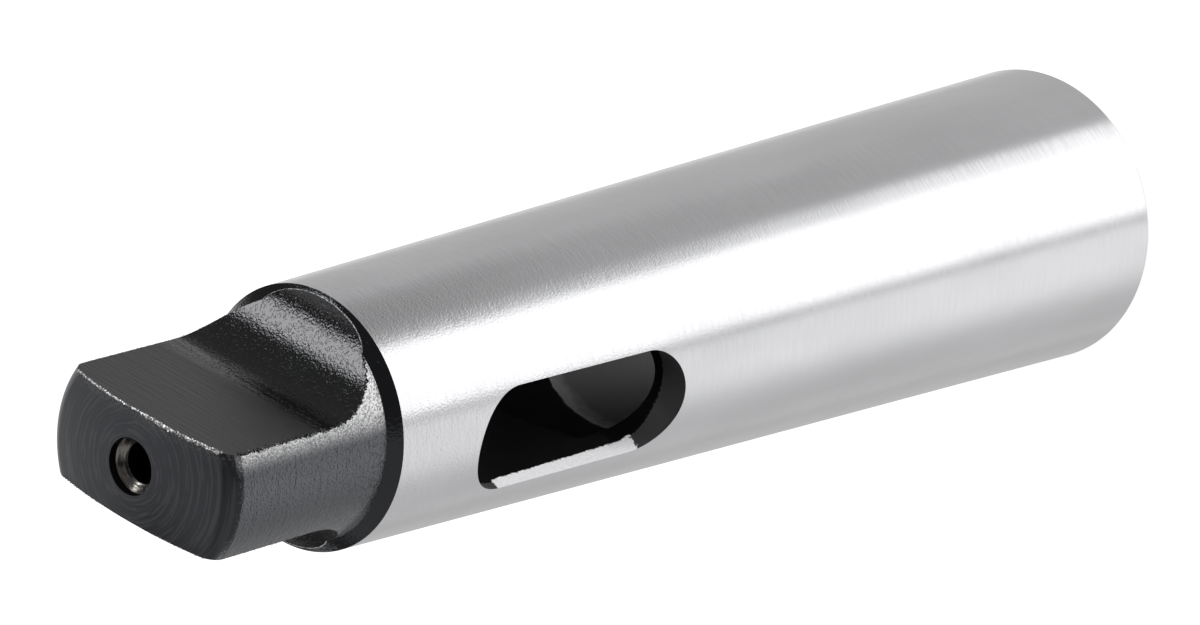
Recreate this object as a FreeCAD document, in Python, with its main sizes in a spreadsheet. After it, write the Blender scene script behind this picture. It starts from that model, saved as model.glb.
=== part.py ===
import FreeCAD, Part
import math
import os
import Sketcher

# A reduction sleeve lets a tool with a small taper shank run in a spindle that
# has a larger taper. It is turned, milled and ground from one bar of steel.
# It stands on its large end. +Z is its axis, the origin is the centre of the
# large end's face, and the drift slot runs through it along Y.

SIZES = {
    # The whole sleeve, and the ground cone that seats in the spindle.
    "total_length": 140.0,
    "gauge_diameter": 31.267,
    "gauge_height": 22.5,
    "outer_taper": 19.254,
    "rim_bevel": 0.2,
    "shoulder_height": 116.7,
    "shoulder_bevel": 1.1,
    # The tang: a turned stub with a crowned end. It is flattened on two sides,
    # and each flat ends in a scoop.
    "tang_diameter": 24.0,
    "tang_crown_radius": 45.0,
    "tang_corner_radius": 1.8,
    "tang_thickness": 10.9,
    "tang_flat_length": 15.0,
    "tang_scoop_radius": 8.0,
    # The socket that holds the tool.
    "socket_diameter": 23.825,
    "socket_taper": 19.922,
    "mouth_bevel": 0.8,
    "relief_diameter": 20.2,
    "socket_depth": 84.0,
    "drill_point_angle": 118.0,
    # The drift slot, which has round ends.
    "slot_width": 11.2,
    "slot_length": 29.8,
    "slot_height": 76.0,
    # The centre hole in the tang's end: a counterbore, a cone and a pilot.
    "centre_mouth_diameter": 5.6,
    "centre_mouth_depth": 0.9,
    "centre_cone_depth": 0.8,
    "centre_pilot_diameter": 4.0,
    "centre_pilot_depth": 9.0,
}

doc = FreeCAD.newDocument("reduction_sleeve")
sheet = doc.addObject("Spreadsheet::Sheet", "sizes")
for row, (alias, value) in enumerate(SIZES.items(), start=1):
    sheet.set(f"A{row}", alias)
    sheet.set(f"B{row}", str(value))
    sheet.setAlias(f"B{row}", alias)
doc.recompute()

body = doc.addObject("PartDesign::Body", "taper_sleeve")
body.Label = "taper_sleeve"


def number(expression):
    """What an expression over the sheet's sizes comes to now."""
    return float(sheet.evalExpression(expression))


def outer_radius(height):
    """The ground cone's radius at a height, as an expression."""
    return f"(sizes.gauge_diameter - ({height} - sizes.gauge_height) / sizes.outer_taper) / 2"


def socket_radius(height):
    """The socket's radius at a height, as an expression."""
    return f"(sizes.socket_diameter - ({height}) / sizes.socket_taper) / 2"


def drill_point(radius):
    """How far a drill's point reaches past its full radius, as an expression."""
    return f"({radius}) / tan(sizes.drill_point_angle / 2)"


class Profile:
    """A closed outline on the body's XZ plane. Its sizes are expressions, so it follows them."""

    ROOT = (-1, 1)
    ACROSS = -1
    UP = -2

    def __init__(self, name):
        self.sketch = body.newObject("Sketcher::SketchObject", name)
        plane = next(o for o in body.Origin.OriginFeatures if o.Role == "XZ_Plane")
        self.sketch.AttachmentSupport = (plane, "")
        self.sketch.MapMode = "FlatFace"

    def line(self, x1, z1, x2, z2):
        """A straight side, drawn near the place that the constraints give it."""
        a, b = FreeCAD.Vector(x1, z1, 0), FreeCAD.Vector(x2, z2, 0)
        return self.sketch.addGeometry(Part.LineSegment(a, b), False)

    def arc(self, x, z, radius, start, end):
        """An arc drawn anticlockwise from one angle to another, in radians."""
        circle = Part.Circle(FreeCAD.Vector(x, z, 0), FreeCAD.Vector(0, 0, 1), radius)
        return self.sketch.addGeometry(Part.ArcOfCircle(circle, start, end), False)

    def hold(self, kind, *where):
        """Adds one constraint that has no size."""
        self.sketch.addConstraint(Sketcher.Constraint(kind, *where))

    def tie(self, kind, size, *where):
        """Adds one measured constraint that follows its expression."""
        index = self.sketch.addConstraint(Sketcher.Constraint(kind, *where, number(size)))
        self.sketch.setExpression(f"Constraints[{index}]", size)

    def pin(self, side, end, x, z):
        """Holds one end of a side at (x, z); "0" puts it on the axis itself."""
        for kind, size, axis in (("DistanceX", x, self.UP), ("DistanceY", z, self.ACROSS)):
            if size == "0":
                self.hold("PointOnObject", side, end, axis)
            else:
                self.tie(kind, size, *self.ROOT, side, end)

    def corners(self, corners, crowned=None, crown_radius=None):
        """Sides through the corners and back to the first. They are straight, except
        that the side after the crowned corner is an arc centred on the axis."""
        points = [(number(x), number(z)) for x, z in corners]
        sides = []
        for index, (a, b) in enumerate(zip(points, points[1:] + points[:1])):
            if index == crowned:
                r = number(crown_radius)
                centre = b[1] - r
                start = math.atan2(a[1] - centre, a[0])
                sides.append(self.arc(0, centre, r, start, math.pi / 2))
                self.tie("Radius", crown_radius, sides[-1])
            else:
                sides.append(self.line(*a, *b))
        for side, following in zip(sides, sides[1:] + sides[:1]):
            self.hold("Coincident", side, 2, following, 1)
        for side, corner in zip(sides, corners):
            self.pin(side, 1, *corner)

    def stadium(self, half_width, low, high):
        """Two upright sides joined by half rounds whose centres stand on the axis."""
        r, z1, z2 = (number(size) for size in (half_width, low, high))
        right = self.line(r, z1, r, z2)
        top = self.arc(0, z2, r, 0, math.pi)
        left = self.line(-r, z2, -r, z1)
        bottom = self.arc(0, z1, r, math.pi, 2 * math.pi)
        loop = [right, top, left, bottom]
        for side, following in zip(loop, loop[1:] + loop[:1]):
            self.hold("Tangent", side, 2, following, 1)
        self.hold("Vertical", right)
        self.hold("Equal", top, bottom)
        self.hold("PointOnObject", top, 3, self.UP)
        self.tie("Radius", half_width, top)
        self.tie("DistanceY", low, *self.ROOT, bottom, 3)
        self.tie("DistanceY", high, *self.ROOT, top, 3)

    def scooped_flat(self, face, run_out, radius, clear, top):
        """What a round cutter takes off: down the flat, round the scoop and straight out."""
        x, z, r, out, above = (number(size) for size in (face, run_out, radius, clear, top))
        flat = self.line(x, above, x, z)
        scoop = self.arc(x + r, z, r, math.pi, 1.5 * math.pi)
        floor = self.line(x + r, z - r, out, z - r)
        side = self.line(out, z - r, out, above)
        lid = self.line(out, above, x, above)
        self.hold("Tangent", flat, 2, scoop, 1)
        self.hold("Tangent", scoop, 2, floor, 1)
        for one, following in ((floor, side), (side, lid), (lid, flat)):
            self.hold("Coincident", one, 2, following, 1)
        self.hold("Vertical", flat)
        self.hold("Horizontal", floor)
        self.hold("Vertical", side)
        self.hold("Horizontal", lid)
        self.pin(flat, 1, face, top)
        self.tie("DistanceY", run_out, *self.ROOT, scoop, 3)
        self.tie("Radius", radius, scoop)
        self.tie("DistanceX", clear, *self.ROOT, side, 1)


def take_off(cut):
    """Makes a cut the body's last feature and returns the volume that it takes off."""
    before = body.Shape.Volume
    body.Tip = cut
    doc.recompute()
    volume = before - body.Shape.Volume
    if volume <= 0:
        raise RuntimeError(f"{cut.Name} takes nothing off")
    return volume


def turned(kind, name, profile):
    """A half outline turned once round the sleeve's axis."""
    turn = body.newObject(f"PartDesign::{kind}", name)
    turn.Profile = profile.sketch
    turn.ReferenceAxis = (profile.sketch, ["V_Axis"])
    turn.Angle = 360.0
    return turn


def milled_through(name, profile):
    """A pocket cut right through along Y, both ways from the outline's plane."""
    cut = body.newObject("PartDesign::Pocket", name)
    cut.Profile = profile.sketch
    cut.Type = "ThroughAll"
    cut.Midplane = True
    return cut


def round_edge(shape, radius, height):
    """The name of the full round edge with this radius at this height."""
    for index, edge in enumerate(shape.Edges, start=1):
        if edge.Closed and not edge.Degenerated and isinstance(edge.Curve, Part.Circle):
            circle = edge.Curve
            if abs(circle.Radius - radius) < 1e-4 and abs(circle.Center.z - height) < 1e-4:
                return f"Edge{index}"
    raise RuntimeError(f"no round edge of radius {radius} at height {height}")


# The turned blank: the face at the large end, the cone, the bevelled shoulder,
# the tang's stub and its crowned end. The length is measured to the rim of the
# centre hole, so the crown as turned stands a little higher.
STUB = "sizes.tang_diameter / 2"
MOUTH = "sizes.centre_mouth_diameter / 2"
CROWN = "sizes.tang_crown_radius"
CROWN_CENTRE = f"sizes.total_length - sqrt({CROWN} ^ 2 - ({MOUTH}) ^ 2)"
CROWN_EDGE = f"{CROWN_CENTRE} + sqrt({CROWN} ^ 2 - ({STUB}) ^ 2)"
CROWN_TOP = f"{CROWN_CENTRE} + {CROWN}"
blank_outline = Profile("turned_blank_outline")
blank_outline.corners([
    ("0", "0"),
    (outer_radius("0"), "0"),
    (outer_radius("sizes.shoulder_height"), "sizes.shoulder_height"),
    (STUB, "sizes.shoulder_height + sizes.shoulder_bevel"),
    (STUB, CROWN_EDGE),
    ("0", CROWN_TOP),
], crowned=4, crown_radius=CROWN)
blank = turned("Revolution", "turned_blank", blank_outline)
body.Tip = blank
doc.recompute()

# The stub's end is rounded over and the cone's large rim is bevelled.
corner = body.newObject("PartDesign::Fillet", "tang_corner")
corner.Base = (blank, [round_edge(blank.Shape, number(STUB), number(CROWN_EDGE))])
corner.setExpression("Radius", "sizes.tang_corner_radius")
take_off(corner)
rim = body.newObject("PartDesign::Chamfer", "rim_bevel")
rim.Base = (corner, [round_edge(corner.Shape, number(outer_radius("0")), 0.0)])
rim.setExpression("Size", "sizes.rim_bevel")
take_off(rim)

# The socket: a bevelled mouth, the taper that grips the tool's shank, a straight
# relief bore that reaches into the drift slot, and the cone a drill leaves.
RELIEF = "sizes.relief_diameter / 2"
TAPER_END = "(sizes.socket_diameter - sizes.relief_diameter) * sizes.socket_taper"
socket_outline = Profile("socket_outline")
socket_outline.corners([
    ("0", "0"),
    (f"{socket_radius('0')} + sizes.mouth_bevel", "0"),
    (socket_radius("sizes.mouth_bevel"), "sizes.mouth_bevel"),
    (RELIEF, TAPER_END),
    (RELIEF, "sizes.socket_depth"),
    ("0", f"sizes.socket_depth + {drill_point(RELIEF)}"),
])
take_off(turned("Groove", "socket", socket_outline))

# The drift slot, which lets a wedge push the tool out.
slot_outline = Profile("drift_slot_outline")
slot_outline.stadium(
    half_width="sizes.slot_width / 2",
    low="sizes.slot_height + sizes.slot_width / 2",
    high="sizes.slot_height + sizes.slot_length - sizes.slot_width / 2",
)
take_off(milled_through("drift_slot", slot_outline))

# The tang's two flats. The cutter leaves a scoop of its own radius where it runs
# out into the shoulder's bevel, and the second flat mirrors the first.
flat_outline = Profile("tang_flat_outline")
flat_outline.scooped_flat(
    face="sizes.tang_thickness / 2",
    run_out="sizes.total_length - sizes.tang_flat_length",
    radius="sizes.tang_scoop_radius",
    clear="sizes.gauge_diameter",
    top="sizes.total_length + sizes.tang_flat_length",
)
first_flat = milled_through("tang_flat", flat_outline)
first_volume = take_off(first_flat)
second_flat = body.newObject("PartDesign::Mirrored", "opposite_flat")
second_flat.Originals = [first_flat]
second_flat.MirrorPlane = (
    next(o for o in body.Origin.OriginFeatures if o.Role == "YZ_Plane"), [""])
if abs(take_off(second_flat) / first_volume - 1) > 1e-4:
    raise RuntimeError("the two flats differ")

# The centre hole, which held the blank between centres.
END = "sizes.total_length"
PILOT = "sizes.centre_pilot_diameter / 2"
centre_outline = Profile("centre_hole_outline")
centre_outline.corners([
    ("0", f"{END} - sizes.centre_pilot_depth - {drill_point(PILOT)}"),
    (PILOT, f"{END} - sizes.centre_pilot_depth"),
    (PILOT, f"{END} - sizes.centre_mouth_depth - sizes.centre_cone_depth"),
    (MOUTH, f"{END} - sizes.centre_mouth_depth"),
    (MOUTH, CROWN_TOP),
    ("0", CROWN_TOP),
])
take_off(turned("Groove", "centre_hole", centre_outline))

for thing in doc.Objects:
    if "Invalid" in thing.State or "Error" in thing.State:
        raise RuntimeError(f"{thing.Name}: {thing.State}")
    if thing.TypeId == "Sketcher::SketchObject" and not thing.FullyConstrained:
        raise RuntimeError(f"{thing.Name} is not fully constrained")
shape = body.Shape
if shape.isNull() or not shape.isValid() or len(shape.Solids) != 1:
    raise RuntimeError("the sleeve is not one valid solid")

os.makedirs("parts", exist_ok=True)
shape.exportStep(f"parts/{body.Label}.step")
box = shape.optimalBoundingBox(False)
print(f"{body.Label}: {box.XLength:.2f} x {box.YLength:.2f} x {box.ZLength:.2f} mm,",
      f"{shape.Volume / 1000:.2f} cm3, {len(shape.Faces)} faces")
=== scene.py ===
# %% [markdown]
# # A reduction sleeve, blackened and ground
#
# A reduction sleeve lets a drill with a small taper shank run in a spindle that
# has a larger taper. It is one piece of hardened steel. It is turned, bored and
# milled, then blackened all over, and last its outer taper is ground bright.
#
# This script makes it the same way: turned bodies come from outlines spun round
# the axis, cutters take away the holes, the slot and the flats, and the ground
# finish is laid on last. The packed part gives the frame that everything fits.

# %% Load the packed part
import math

import bpy
import numpy as np
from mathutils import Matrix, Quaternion, Vector


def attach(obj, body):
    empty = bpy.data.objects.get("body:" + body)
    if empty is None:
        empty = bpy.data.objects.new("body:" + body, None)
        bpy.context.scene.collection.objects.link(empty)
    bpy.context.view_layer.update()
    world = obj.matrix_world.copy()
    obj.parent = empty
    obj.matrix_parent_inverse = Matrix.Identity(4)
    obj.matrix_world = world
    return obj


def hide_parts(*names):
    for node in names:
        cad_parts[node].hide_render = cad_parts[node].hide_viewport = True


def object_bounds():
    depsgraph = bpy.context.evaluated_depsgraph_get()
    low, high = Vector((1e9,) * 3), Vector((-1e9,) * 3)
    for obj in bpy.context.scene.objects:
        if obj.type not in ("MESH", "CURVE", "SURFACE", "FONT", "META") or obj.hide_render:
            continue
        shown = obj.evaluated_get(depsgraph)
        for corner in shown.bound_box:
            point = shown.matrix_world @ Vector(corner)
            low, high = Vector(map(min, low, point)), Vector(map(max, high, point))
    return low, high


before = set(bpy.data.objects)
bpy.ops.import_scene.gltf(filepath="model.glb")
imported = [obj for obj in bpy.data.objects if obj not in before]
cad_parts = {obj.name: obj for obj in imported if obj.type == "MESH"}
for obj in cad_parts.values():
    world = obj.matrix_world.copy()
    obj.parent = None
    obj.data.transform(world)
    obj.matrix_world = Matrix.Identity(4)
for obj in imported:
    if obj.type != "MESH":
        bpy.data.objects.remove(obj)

cad_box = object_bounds()
MM = 0.001
print("box of the packed part in mm:", [[round(c / MM, 2) for c in corner] for corner in cad_box])

# %% [markdown]
# ## The outer taper
#
# Blender can't read the part's own sheet of sizes, so the ones that the looks
# need are repeated, each in the first cell that needs it. All are in
# millimetres and become metres where they are used. The length comes from the
# packed part.
#
# A taper is given by its radius at one height, the gauge plane, and by how far
# it runs while it gets one millimetre thinner.

# %% The taper's sizes
LENGTH = cad_box[1].z / MM
GAUGE_RADIUS = 31.267 / 2
GAUGE_HEIGHT = 22.5
TAPER = 19.254
SHOULDER_HEIGHT = 116.7


def cone_radius(height):
    """The ground taper's radius at a height."""
    return GAUGE_RADIUS - (height - GAUGE_HEIGHT) / (2 * TAPER)


print("the taper goes from", round(2 * cone_radius(0), 2), "to",
      round(2 * cone_radius(SHOULDER_HEIGHT), 2), "mm across")

# %% [markdown]
# ## Outlines
#
# A lathe or a mill follows an outline: straight sides and arcs. Each side here
# knows two things, the points along it and the way its surface faces. The
# points make the mesh, and the facing is used later, to shade every surface as
# the true cone, plane or cylinder that it is.
#
# An outline runs anticlockwise, with what it encloses on its left.


# %% A straight side
class Side:
    """A straight side of an outline, in millimetres across and up."""

    def __init__(self, start, end, steps=1):
        self.start, self.end = np.array(start, float), np.array(end, float)
        self.steps = steps

    def points(self):
        share = np.linspace(0, 1, self.steps + 1)[:-1, None]
        return self.start + (self.end - self.start) * share

    def distance(self, at):
        along = self.end - self.start
        share = np.clip((at - self.start) @ along / (along @ along), 0, 1)
        return np.linalg.norm(at - self.start - share[:, None] * along, axis=1)

    def facing(self, at):
        across, up = (self.end - self.start) / np.linalg.norm(self.end - self.start)
        return np.tile([up, -across], (len(at), 1))


def straight_through(*corners):
    """Straight sides from corner to corner."""
    return [Side(a, b) for a, b in zip(corners, corners[1:])]


print("a side that climbs 4 for 3 across faces", Side((0, 0), (3, 4)).facing(np.zeros((1, 2)))[0])

# %% [markdown]
# An arc answers the same questions. A point that lies beside the arc, past one
# of its ends, counts as far away, so that it is never taken for part of it.


# %% A round side
class Arc:
    """A round side of an outline, anticlockwise from one angle to another."""

    SLACK = 0.02          # how far past an end still counts, in radians
    FAR = 1e3

    def __init__(self, centre, radius, start, end, steps):
        self.centre, self.radius = np.array(centre, float), radius
        self.angles = np.linspace(start, end, steps + 1)
        self.start, self.end = (self.at(self.angles[i]) for i in (0, -1))

    def at(self, angle):
        return self.centre + self.radius * np.array([math.cos(angle), math.sin(angle)])

    def points(self):
        return np.array([self.at(angle) for angle in self.angles[:-1]])

    def distance(self, at):
        away = at - self.centre
        middle = (self.angles[0] + self.angles[-1]) / 2
        turn = np.arctan2(away[:, 1], away[:, 0]) - middle
        turn = (turn + math.pi) % (2 * math.pi) - math.pi
        within = np.abs(turn) <= abs(self.angles[-1] - self.angles[0]) / 2 + self.SLACK
        return np.where(within, np.abs(np.linalg.norm(away, axis=1) - self.radius), self.FAR)

    def facing(self, at):
        away = at - self.centre
        return away / np.linalg.norm(away, axis=1, keepdims=True)


print("a quarter circle ends at", Arc((0, 0), 1.0, 0, math.pi / 2, 4).end.round(3))

# %% [markdown]
# ## The outline of the blank
#
# The blank carries the long cone, the bevelled shoulder, the stub for the tang
# and its crowned end. The crown is an arc of a large circle centred on the
# axis, and a small arc blends it into the stub. The corner's centre comes from
# the two circles that it touches. At the large end a tiny arc breaks the rim,
# so that the rim catches a thin line of light as a real edge does. It touches
# the end face and leans into the cone.

# %% The blank
RIM_ROUND = 0.2
SHOULDER_BEVEL = 1.1
TANG_RADIUS = 12.0
CROWN_RADIUS = 45.0
CORNER_RADIUS = 1.8
CENTRE_MOUTH_RADIUS = 2.8
RING_SPACING = 2.5
RIM_STEPS, TANG_STEPS, CORNER_STEPS, CROWN_STEPS = 8, 8, 14, 10

shoulder_top = SHOULDER_HEIGHT + SHOULDER_BEVEL
crown_centre = LENGTH - math.sqrt(CROWN_RADIUS ** 2 - CENTRE_MOUTH_RADIUS ** 2)
corner_across = TANG_RADIUS - CORNER_RADIUS
corner_up = crown_centre + math.sqrt((CROWN_RADIUS - CORNER_RADIUS) ** 2 - corner_across ** 2)
crown_start = math.atan2(corner_up - crown_centre, corner_across)
cone_lean = math.atan(1 / (2 * TAPER))
rim_across = cone_radius(0) - RIM_ROUND * (math.tan(cone_lean) + 1 / math.cos(cone_lean))
rim = Arc((rim_across, RIM_ROUND), RIM_ROUND, -math.pi / 2, cone_lean, RIM_STEPS)

blank_outline = [
    Side((0, 0), rim.start),
    rim,
    Side(rim.end, (cone_radius(SHOULDER_HEIGHT), SHOULDER_HEIGHT),
         round(SHOULDER_HEIGHT / RING_SPACING)),
    Side((cone_radius(SHOULDER_HEIGHT), SHOULDER_HEIGHT), (TANG_RADIUS, shoulder_top)),
    Side((TANG_RADIUS, shoulder_top), (TANG_RADIUS, corner_up), TANG_STEPS),
    Arc((corner_across, corner_up), CORNER_RADIUS, 0, crown_start, CORNER_STEPS),
    Arc((0, crown_centre), CROWN_RADIUS, crown_start, math.pi / 2, CROWN_STEPS),
]
print("the crown starts at", round(math.degrees(crown_start), 1), "degrees")

# %% [markdown]
# ## The outlines of the turned holes
#
# The socket and the centre hole are turned as solids of their own, which are
# then taken away. A cutter starts a little outside the steel, so that no face
# of it lies in a face of the blank.

# %% The socket and the centre hole
SOCKET_RADIUS = 23.825 / 2
SOCKET_TAPER = 19.922
MOUTH_BEVEL = 0.8
RELIEF_RADIUS = 10.1
SOCKET_DEPTH = 84.0
DRILL_POINT = math.radians(118.0 / 2)
CENTRE_MOUTH_DEPTH = 0.9
CENTRE_CONE_DEPTH = 0.8
CENTRE_PILOT_RADIUS = 2.0
CENTRE_PILOT_DEPTH = 9.0
CLEAR = 1.0              # how far a cutter starts outside the steel

bevel_end = SOCKET_RADIUS - MOUTH_BEVEL / (2 * SOCKET_TAPER)
mouth_slope = (SOCKET_RADIUS + MOUTH_BEVEL - bevel_end) / MOUTH_BEVEL
taper_end = (SOCKET_RADIUS - RELIEF_RADIUS) * 2 * SOCKET_TAPER
socket_outline = straight_through(
    (0, -CLEAR),
    (SOCKET_RADIUS + MOUTH_BEVEL + CLEAR * mouth_slope, -CLEAR),
    (bevel_end, MOUTH_BEVEL),
    (RELIEF_RADIUS, taper_end),
    (RELIEF_RADIUS, SOCKET_DEPTH),
    (0, SOCKET_DEPTH + RELIEF_RADIUS / math.tan(DRILL_POINT)),
)
pilot_end = LENGTH - CENTRE_PILOT_DEPTH
cone_start = LENGTH - CENTRE_MOUTH_DEPTH
centre_outline = straight_through(
    (0, pilot_end - CENTRE_PILOT_RADIUS / math.tan(DRILL_POINT)),
    (CENTRE_PILOT_RADIUS, pilot_end),
    (CENTRE_PILOT_RADIUS, cone_start - CENTRE_CONE_DEPTH),
    (CENTRE_MOUTH_RADIUS, cone_start),
    (CENTRE_MOUTH_RADIUS, LENGTH + CLEAR),
    (0, LENGTH + CLEAR),
)
print("the socket's taper ends", round(taper_end, 1), "mm up")

# %% [markdown]
# ## The outlines of the milled work
#
# The drift slot is a stadium, milled straight through. A round cutter takes
# down each side of the tang. It leaves a flat, and where it stops it leaves a
# scoop of its own radius.

# %% The slot and the flats
SLOT_RADIUS = 5.6
SLOT_HEIGHT = 76.0
SLOT_LENGTH = 29.8
FLAT = 10.9 / 2
FLAT_LENGTH = 15.0
SCOOP_RADIUS = 8.0
ARC_STEPS = 48

slot_low = SLOT_HEIGHT + SLOT_RADIUS
slot_high = SLOT_HEIGHT + SLOT_LENGTH - SLOT_RADIUS
slot_outline = [
    Side((SLOT_RADIUS, slot_low), (SLOT_RADIUS, slot_high)),
    Arc((0, slot_high), SLOT_RADIUS, 0, math.pi, ARC_STEPS),
    Side((-SLOT_RADIUS, slot_high), (-SLOT_RADIUS, slot_low)),
    Arc((0, slot_low), SLOT_RADIUS, math.pi, 2 * math.pi, ARC_STEPS),
]
run_out = LENGTH - FLAT_LENGTH
scoop_across = FLAT + SCOOP_RADIUS
scoop_floor = run_out - SCOOP_RADIUS
outside = cone_radius(0) + CLEAR
flat_outline = [
    Side((FLAT, LENGTH + CLEAR), (FLAT, run_out)),
    Arc((scoop_across, run_out), SCOOP_RADIUS, math.pi, 1.5 * math.pi, ARC_STEPS),
    *straight_through((scoop_across, scoop_floor), (outside, scoop_floor),
                      (outside, LENGTH + CLEAR), (FLAT, LENGTH + CLEAR)),
]
print("the slot runs from", SLOT_HEIGHT, "to", SLOT_HEIGHT + SLOT_LENGTH, "mm up")

# %% [markdown]
# The second flat is the first one seen in a mirror. A mirror turns the way an
# outline runs, so its sides are also taken in the opposite order.


# %% The other flat
def mirrored(outline):
    """The same outline on the other side of the axis, still anticlockwise."""
    flip = np.array([-1, 1])
    sides = []
    for side in reversed(outline):
        if isinstance(side, Arc):
            start, end = math.pi - side.angles[-1], math.pi - side.angles[0]
            sides.append(Arc(side.centre * flip, side.radius, start, end, len(side.angles) - 1))
        else:
            sides.append(Side(side.end * flip, side.start * flip, side.steps))
    return sides


other_flat_outline = mirrored(flat_outline)
print("the tang is", FLAT - other_flat_outline[-1].start[0], "mm thick")

# %% [markdown]
# ## A short hand for node trees
#
# Geometry, materials and the world are all node trees. One small helper adds a
# node, sets its options and wires its sockets in a single call, so that each
# tree below reads like a recipe.


# %% The node helper
class Recipe:
    """Adds nodes to one tree. A socket is given a number, a colour or another socket."""

    def __init__(self, tree):
        self.tree = tree

    def add(self, kind, sockets=None, **settings):
        node = self.tree.nodes.new(kind)
        for name, value in settings.items():
            setattr(node, name, value)
        for name, value in (sockets or {}).items():
            for one in value if isinstance(value, list) else [value]:
                if isinstance(one, bpy.types.NodeSocket):
                    self.tree.links.new(one, node.inputs[name])
                else:
                    node.inputs[name].default_value = one
        return node

    def calc(self, operation, *values):
        """One Math node's result."""
        return self.add("ShaderNodeMath", dict(enumerate(values)), operation=operation).outputs[0]

    def plus(self, first, *others):
        for other in others:
            first = self.calc("ADD", first, other)
        return first

    def times(self, first, *others):
        for other in others:
            first = self.calc("MULTIPLY", first, other)
        return first

    def vector(self, operation, first, second):
        """One Vector Math node's vector."""
        return self.add("ShaderNodeVectorMath", {0: first, 1: second},
                        operation=operation).outputs["Vector"]

    def length(self, vector):
        return self.add("ShaderNodeVectorMath", {0: vector}, operation="LENGTH").outputs["Value"]

    def step(self, value, low, high, bottom=0.0, top=1.0):
        """A smooth rise from bottom to top while a value goes from low to high."""
        sockets = {"Value": value, "From Min": low, "From Max": high,
                   "To Min": bottom, "To Max": top}
        return self.add("ShaderNodeMapRange", sockets,
                        interpolation_type="SMOOTHSTEP").outputs["Result"]

    def blend(self, share, first, second):
        """A number that goes from the first to the second with a share."""
        return self.step(share, 0, 1, first, second)


print("a recipe knows how to", [name for name in vars(Recipe) if not name.startswith("_")])

# %% [markdown]
# Every geometry tree starts with named inputs and ends alike. Realize Instances
# makes real mesh of whatever was only repeated, because an export drops
# instances, and Set Material lays on the finish.


# %% The start and the end of a geometry tree
def new_tree(name, sockets):
    """A geometry tree with named inputs, its recipe and the node that holds the inputs."""
    tree = bpy.data.node_groups.new(name, "GeometryNodeTree")
    tree.interface.new_socket("Geometry", in_out="INPUT", socket_type="NodeSocketGeometry")
    for socket, kind in sockets.items():
        tree.interface.new_socket(socket, in_out="INPUT", socket_type=f"NodeSocket{kind}")
    tree.interface.new_socket("Geometry", in_out="OUTPUT", socket_type="NodeSocketGeometry")
    return tree, Recipe(tree), tree.nodes.new("NodeGroupInput").outputs


def finish_tree(recipe, geometry, finish, selection=None):
    """The last two nodes of a geometry tree, and its output."""
    real = recipe.add("GeometryNodeRealizeInstances", {"Geometry": geometry})
    sockets = {"Geometry": real.outputs[0], "Material": finish}
    if selection is not None:
        sockets["Selection"] = selection
    painted = recipe.add("GeometryNodeSetMaterial", sockets)
    recipe.add("NodeGroupOutput", {"Geometry": painted.outputs[0]})
    print("the tree", recipe.tree.name, "has", len(recipe.tree.nodes), "nodes")


print("geometry trees so far:", len(bpy.data.node_groups))

# %% [markdown]
# ## The lathe
#
# An outline becomes a turned body. The tree lays out a plain grid with one row
# of points for each point of the outline and one column for each facet round.
# It puts every grid point where its outline point goes when it is turned by its
# column's angle. Merging closes the seam and the points on the axis.
#
# The Screw modifier or the Spin tool could do this as well. A tree was chosen
# because the number of facets stays a named input, and because it makes clean
# rows of four-sided faces.

# %% The lathe's tree
MERGE = 0.0005 * MM

lathe, recipe, given = new_tree("lathe", {"Facets round": "Int", "Finish": "Material"})
rows = recipe.add("GeometryNodeAttributeDomainSize", {"Geometry": given["Geometry"]},
                  component="MESH").outputs["Point Count"]
columns = recipe.plus(given["Facets round"], 1)
grid = recipe.add("GeometryNodeMeshGrid", {"Vertices X": columns, "Vertices Y": rows})
index = recipe.add("GeometryNodeInputIndex").outputs[0]
column = recipe.calc("FLOOR", recipe.calc("DIVIDE", recipe.plus(index, 0.5), rows))
row = recipe.calc("SUBTRACT", index, recipe.times(column, rows))
angle = recipe.times(recipe.calc("DIVIDE", column, given["Facets round"]), 2 * math.pi)
place = recipe.add("GeometryNodeInputPosition").outputs[0]
point = recipe.add("GeometryNodeSampleIndex",
                   {"Geometry": given["Geometry"], "Value": place, "Index": row},
                   data_type="FLOAT_VECTOR").outputs[0]
turned = recipe.add("ShaderNodeVectorRotate", {"Vector": point, "Angle": angle},
                    rotation_type="Z_AXIS").outputs[0]
spun = recipe.add("GeometryNodeSetPosition",
                  {"Geometry": grid.outputs["Mesh"], "Position": turned}).outputs[0]
closed = recipe.add("GeometryNodeMergeByDistance",
                    {"Geometry": spun, "Distance": MERGE}).outputs[0]
finish_tree(recipe, closed, given["Finish"])

# %% [markdown]
# ## The mill
#
# A milled cut has the same outline from one side of the sleeve to the other.
# The tree takes the outline as one flat face, moves it to one side, pushes a
# copy through to the other side, and keeps the first face as the near end.

# %% The mill's tree
mill, recipe, given = new_tree("mill", {"Reach": "Float", "Finish": "Material"})
aside = recipe.add("ShaderNodeCombineXYZ", {"Y": given["Reach"]})
through = recipe.add("ShaderNodeCombineXYZ", {"Y": recipe.times(given["Reach"], -2)})
near = recipe.add("GeometryNodeSetPosition",
                  {"Geometry": given["Geometry"], "Offset": aside.outputs[0]}).outputs[0]
pushed = recipe.add("GeometryNodeExtrudeMesh",
                    {"Mesh": near, "Offset": through.outputs[0], "Individual": False})
near_end = recipe.add("GeometryNodeFlipFaces", {"Mesh": near}).outputs[0]
joined = recipe.add("GeometryNodeJoinGeometry",
                    {"Geometry": [pushed.outputs["Mesh"], near_end]}).outputs[0]
closed = recipe.add("GeometryNodeMergeByDistance",
                    {"Geometry": joined, "Distance": MERGE}).outputs[0]
finish_tree(recipe, closed, given["Finish"])

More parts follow.
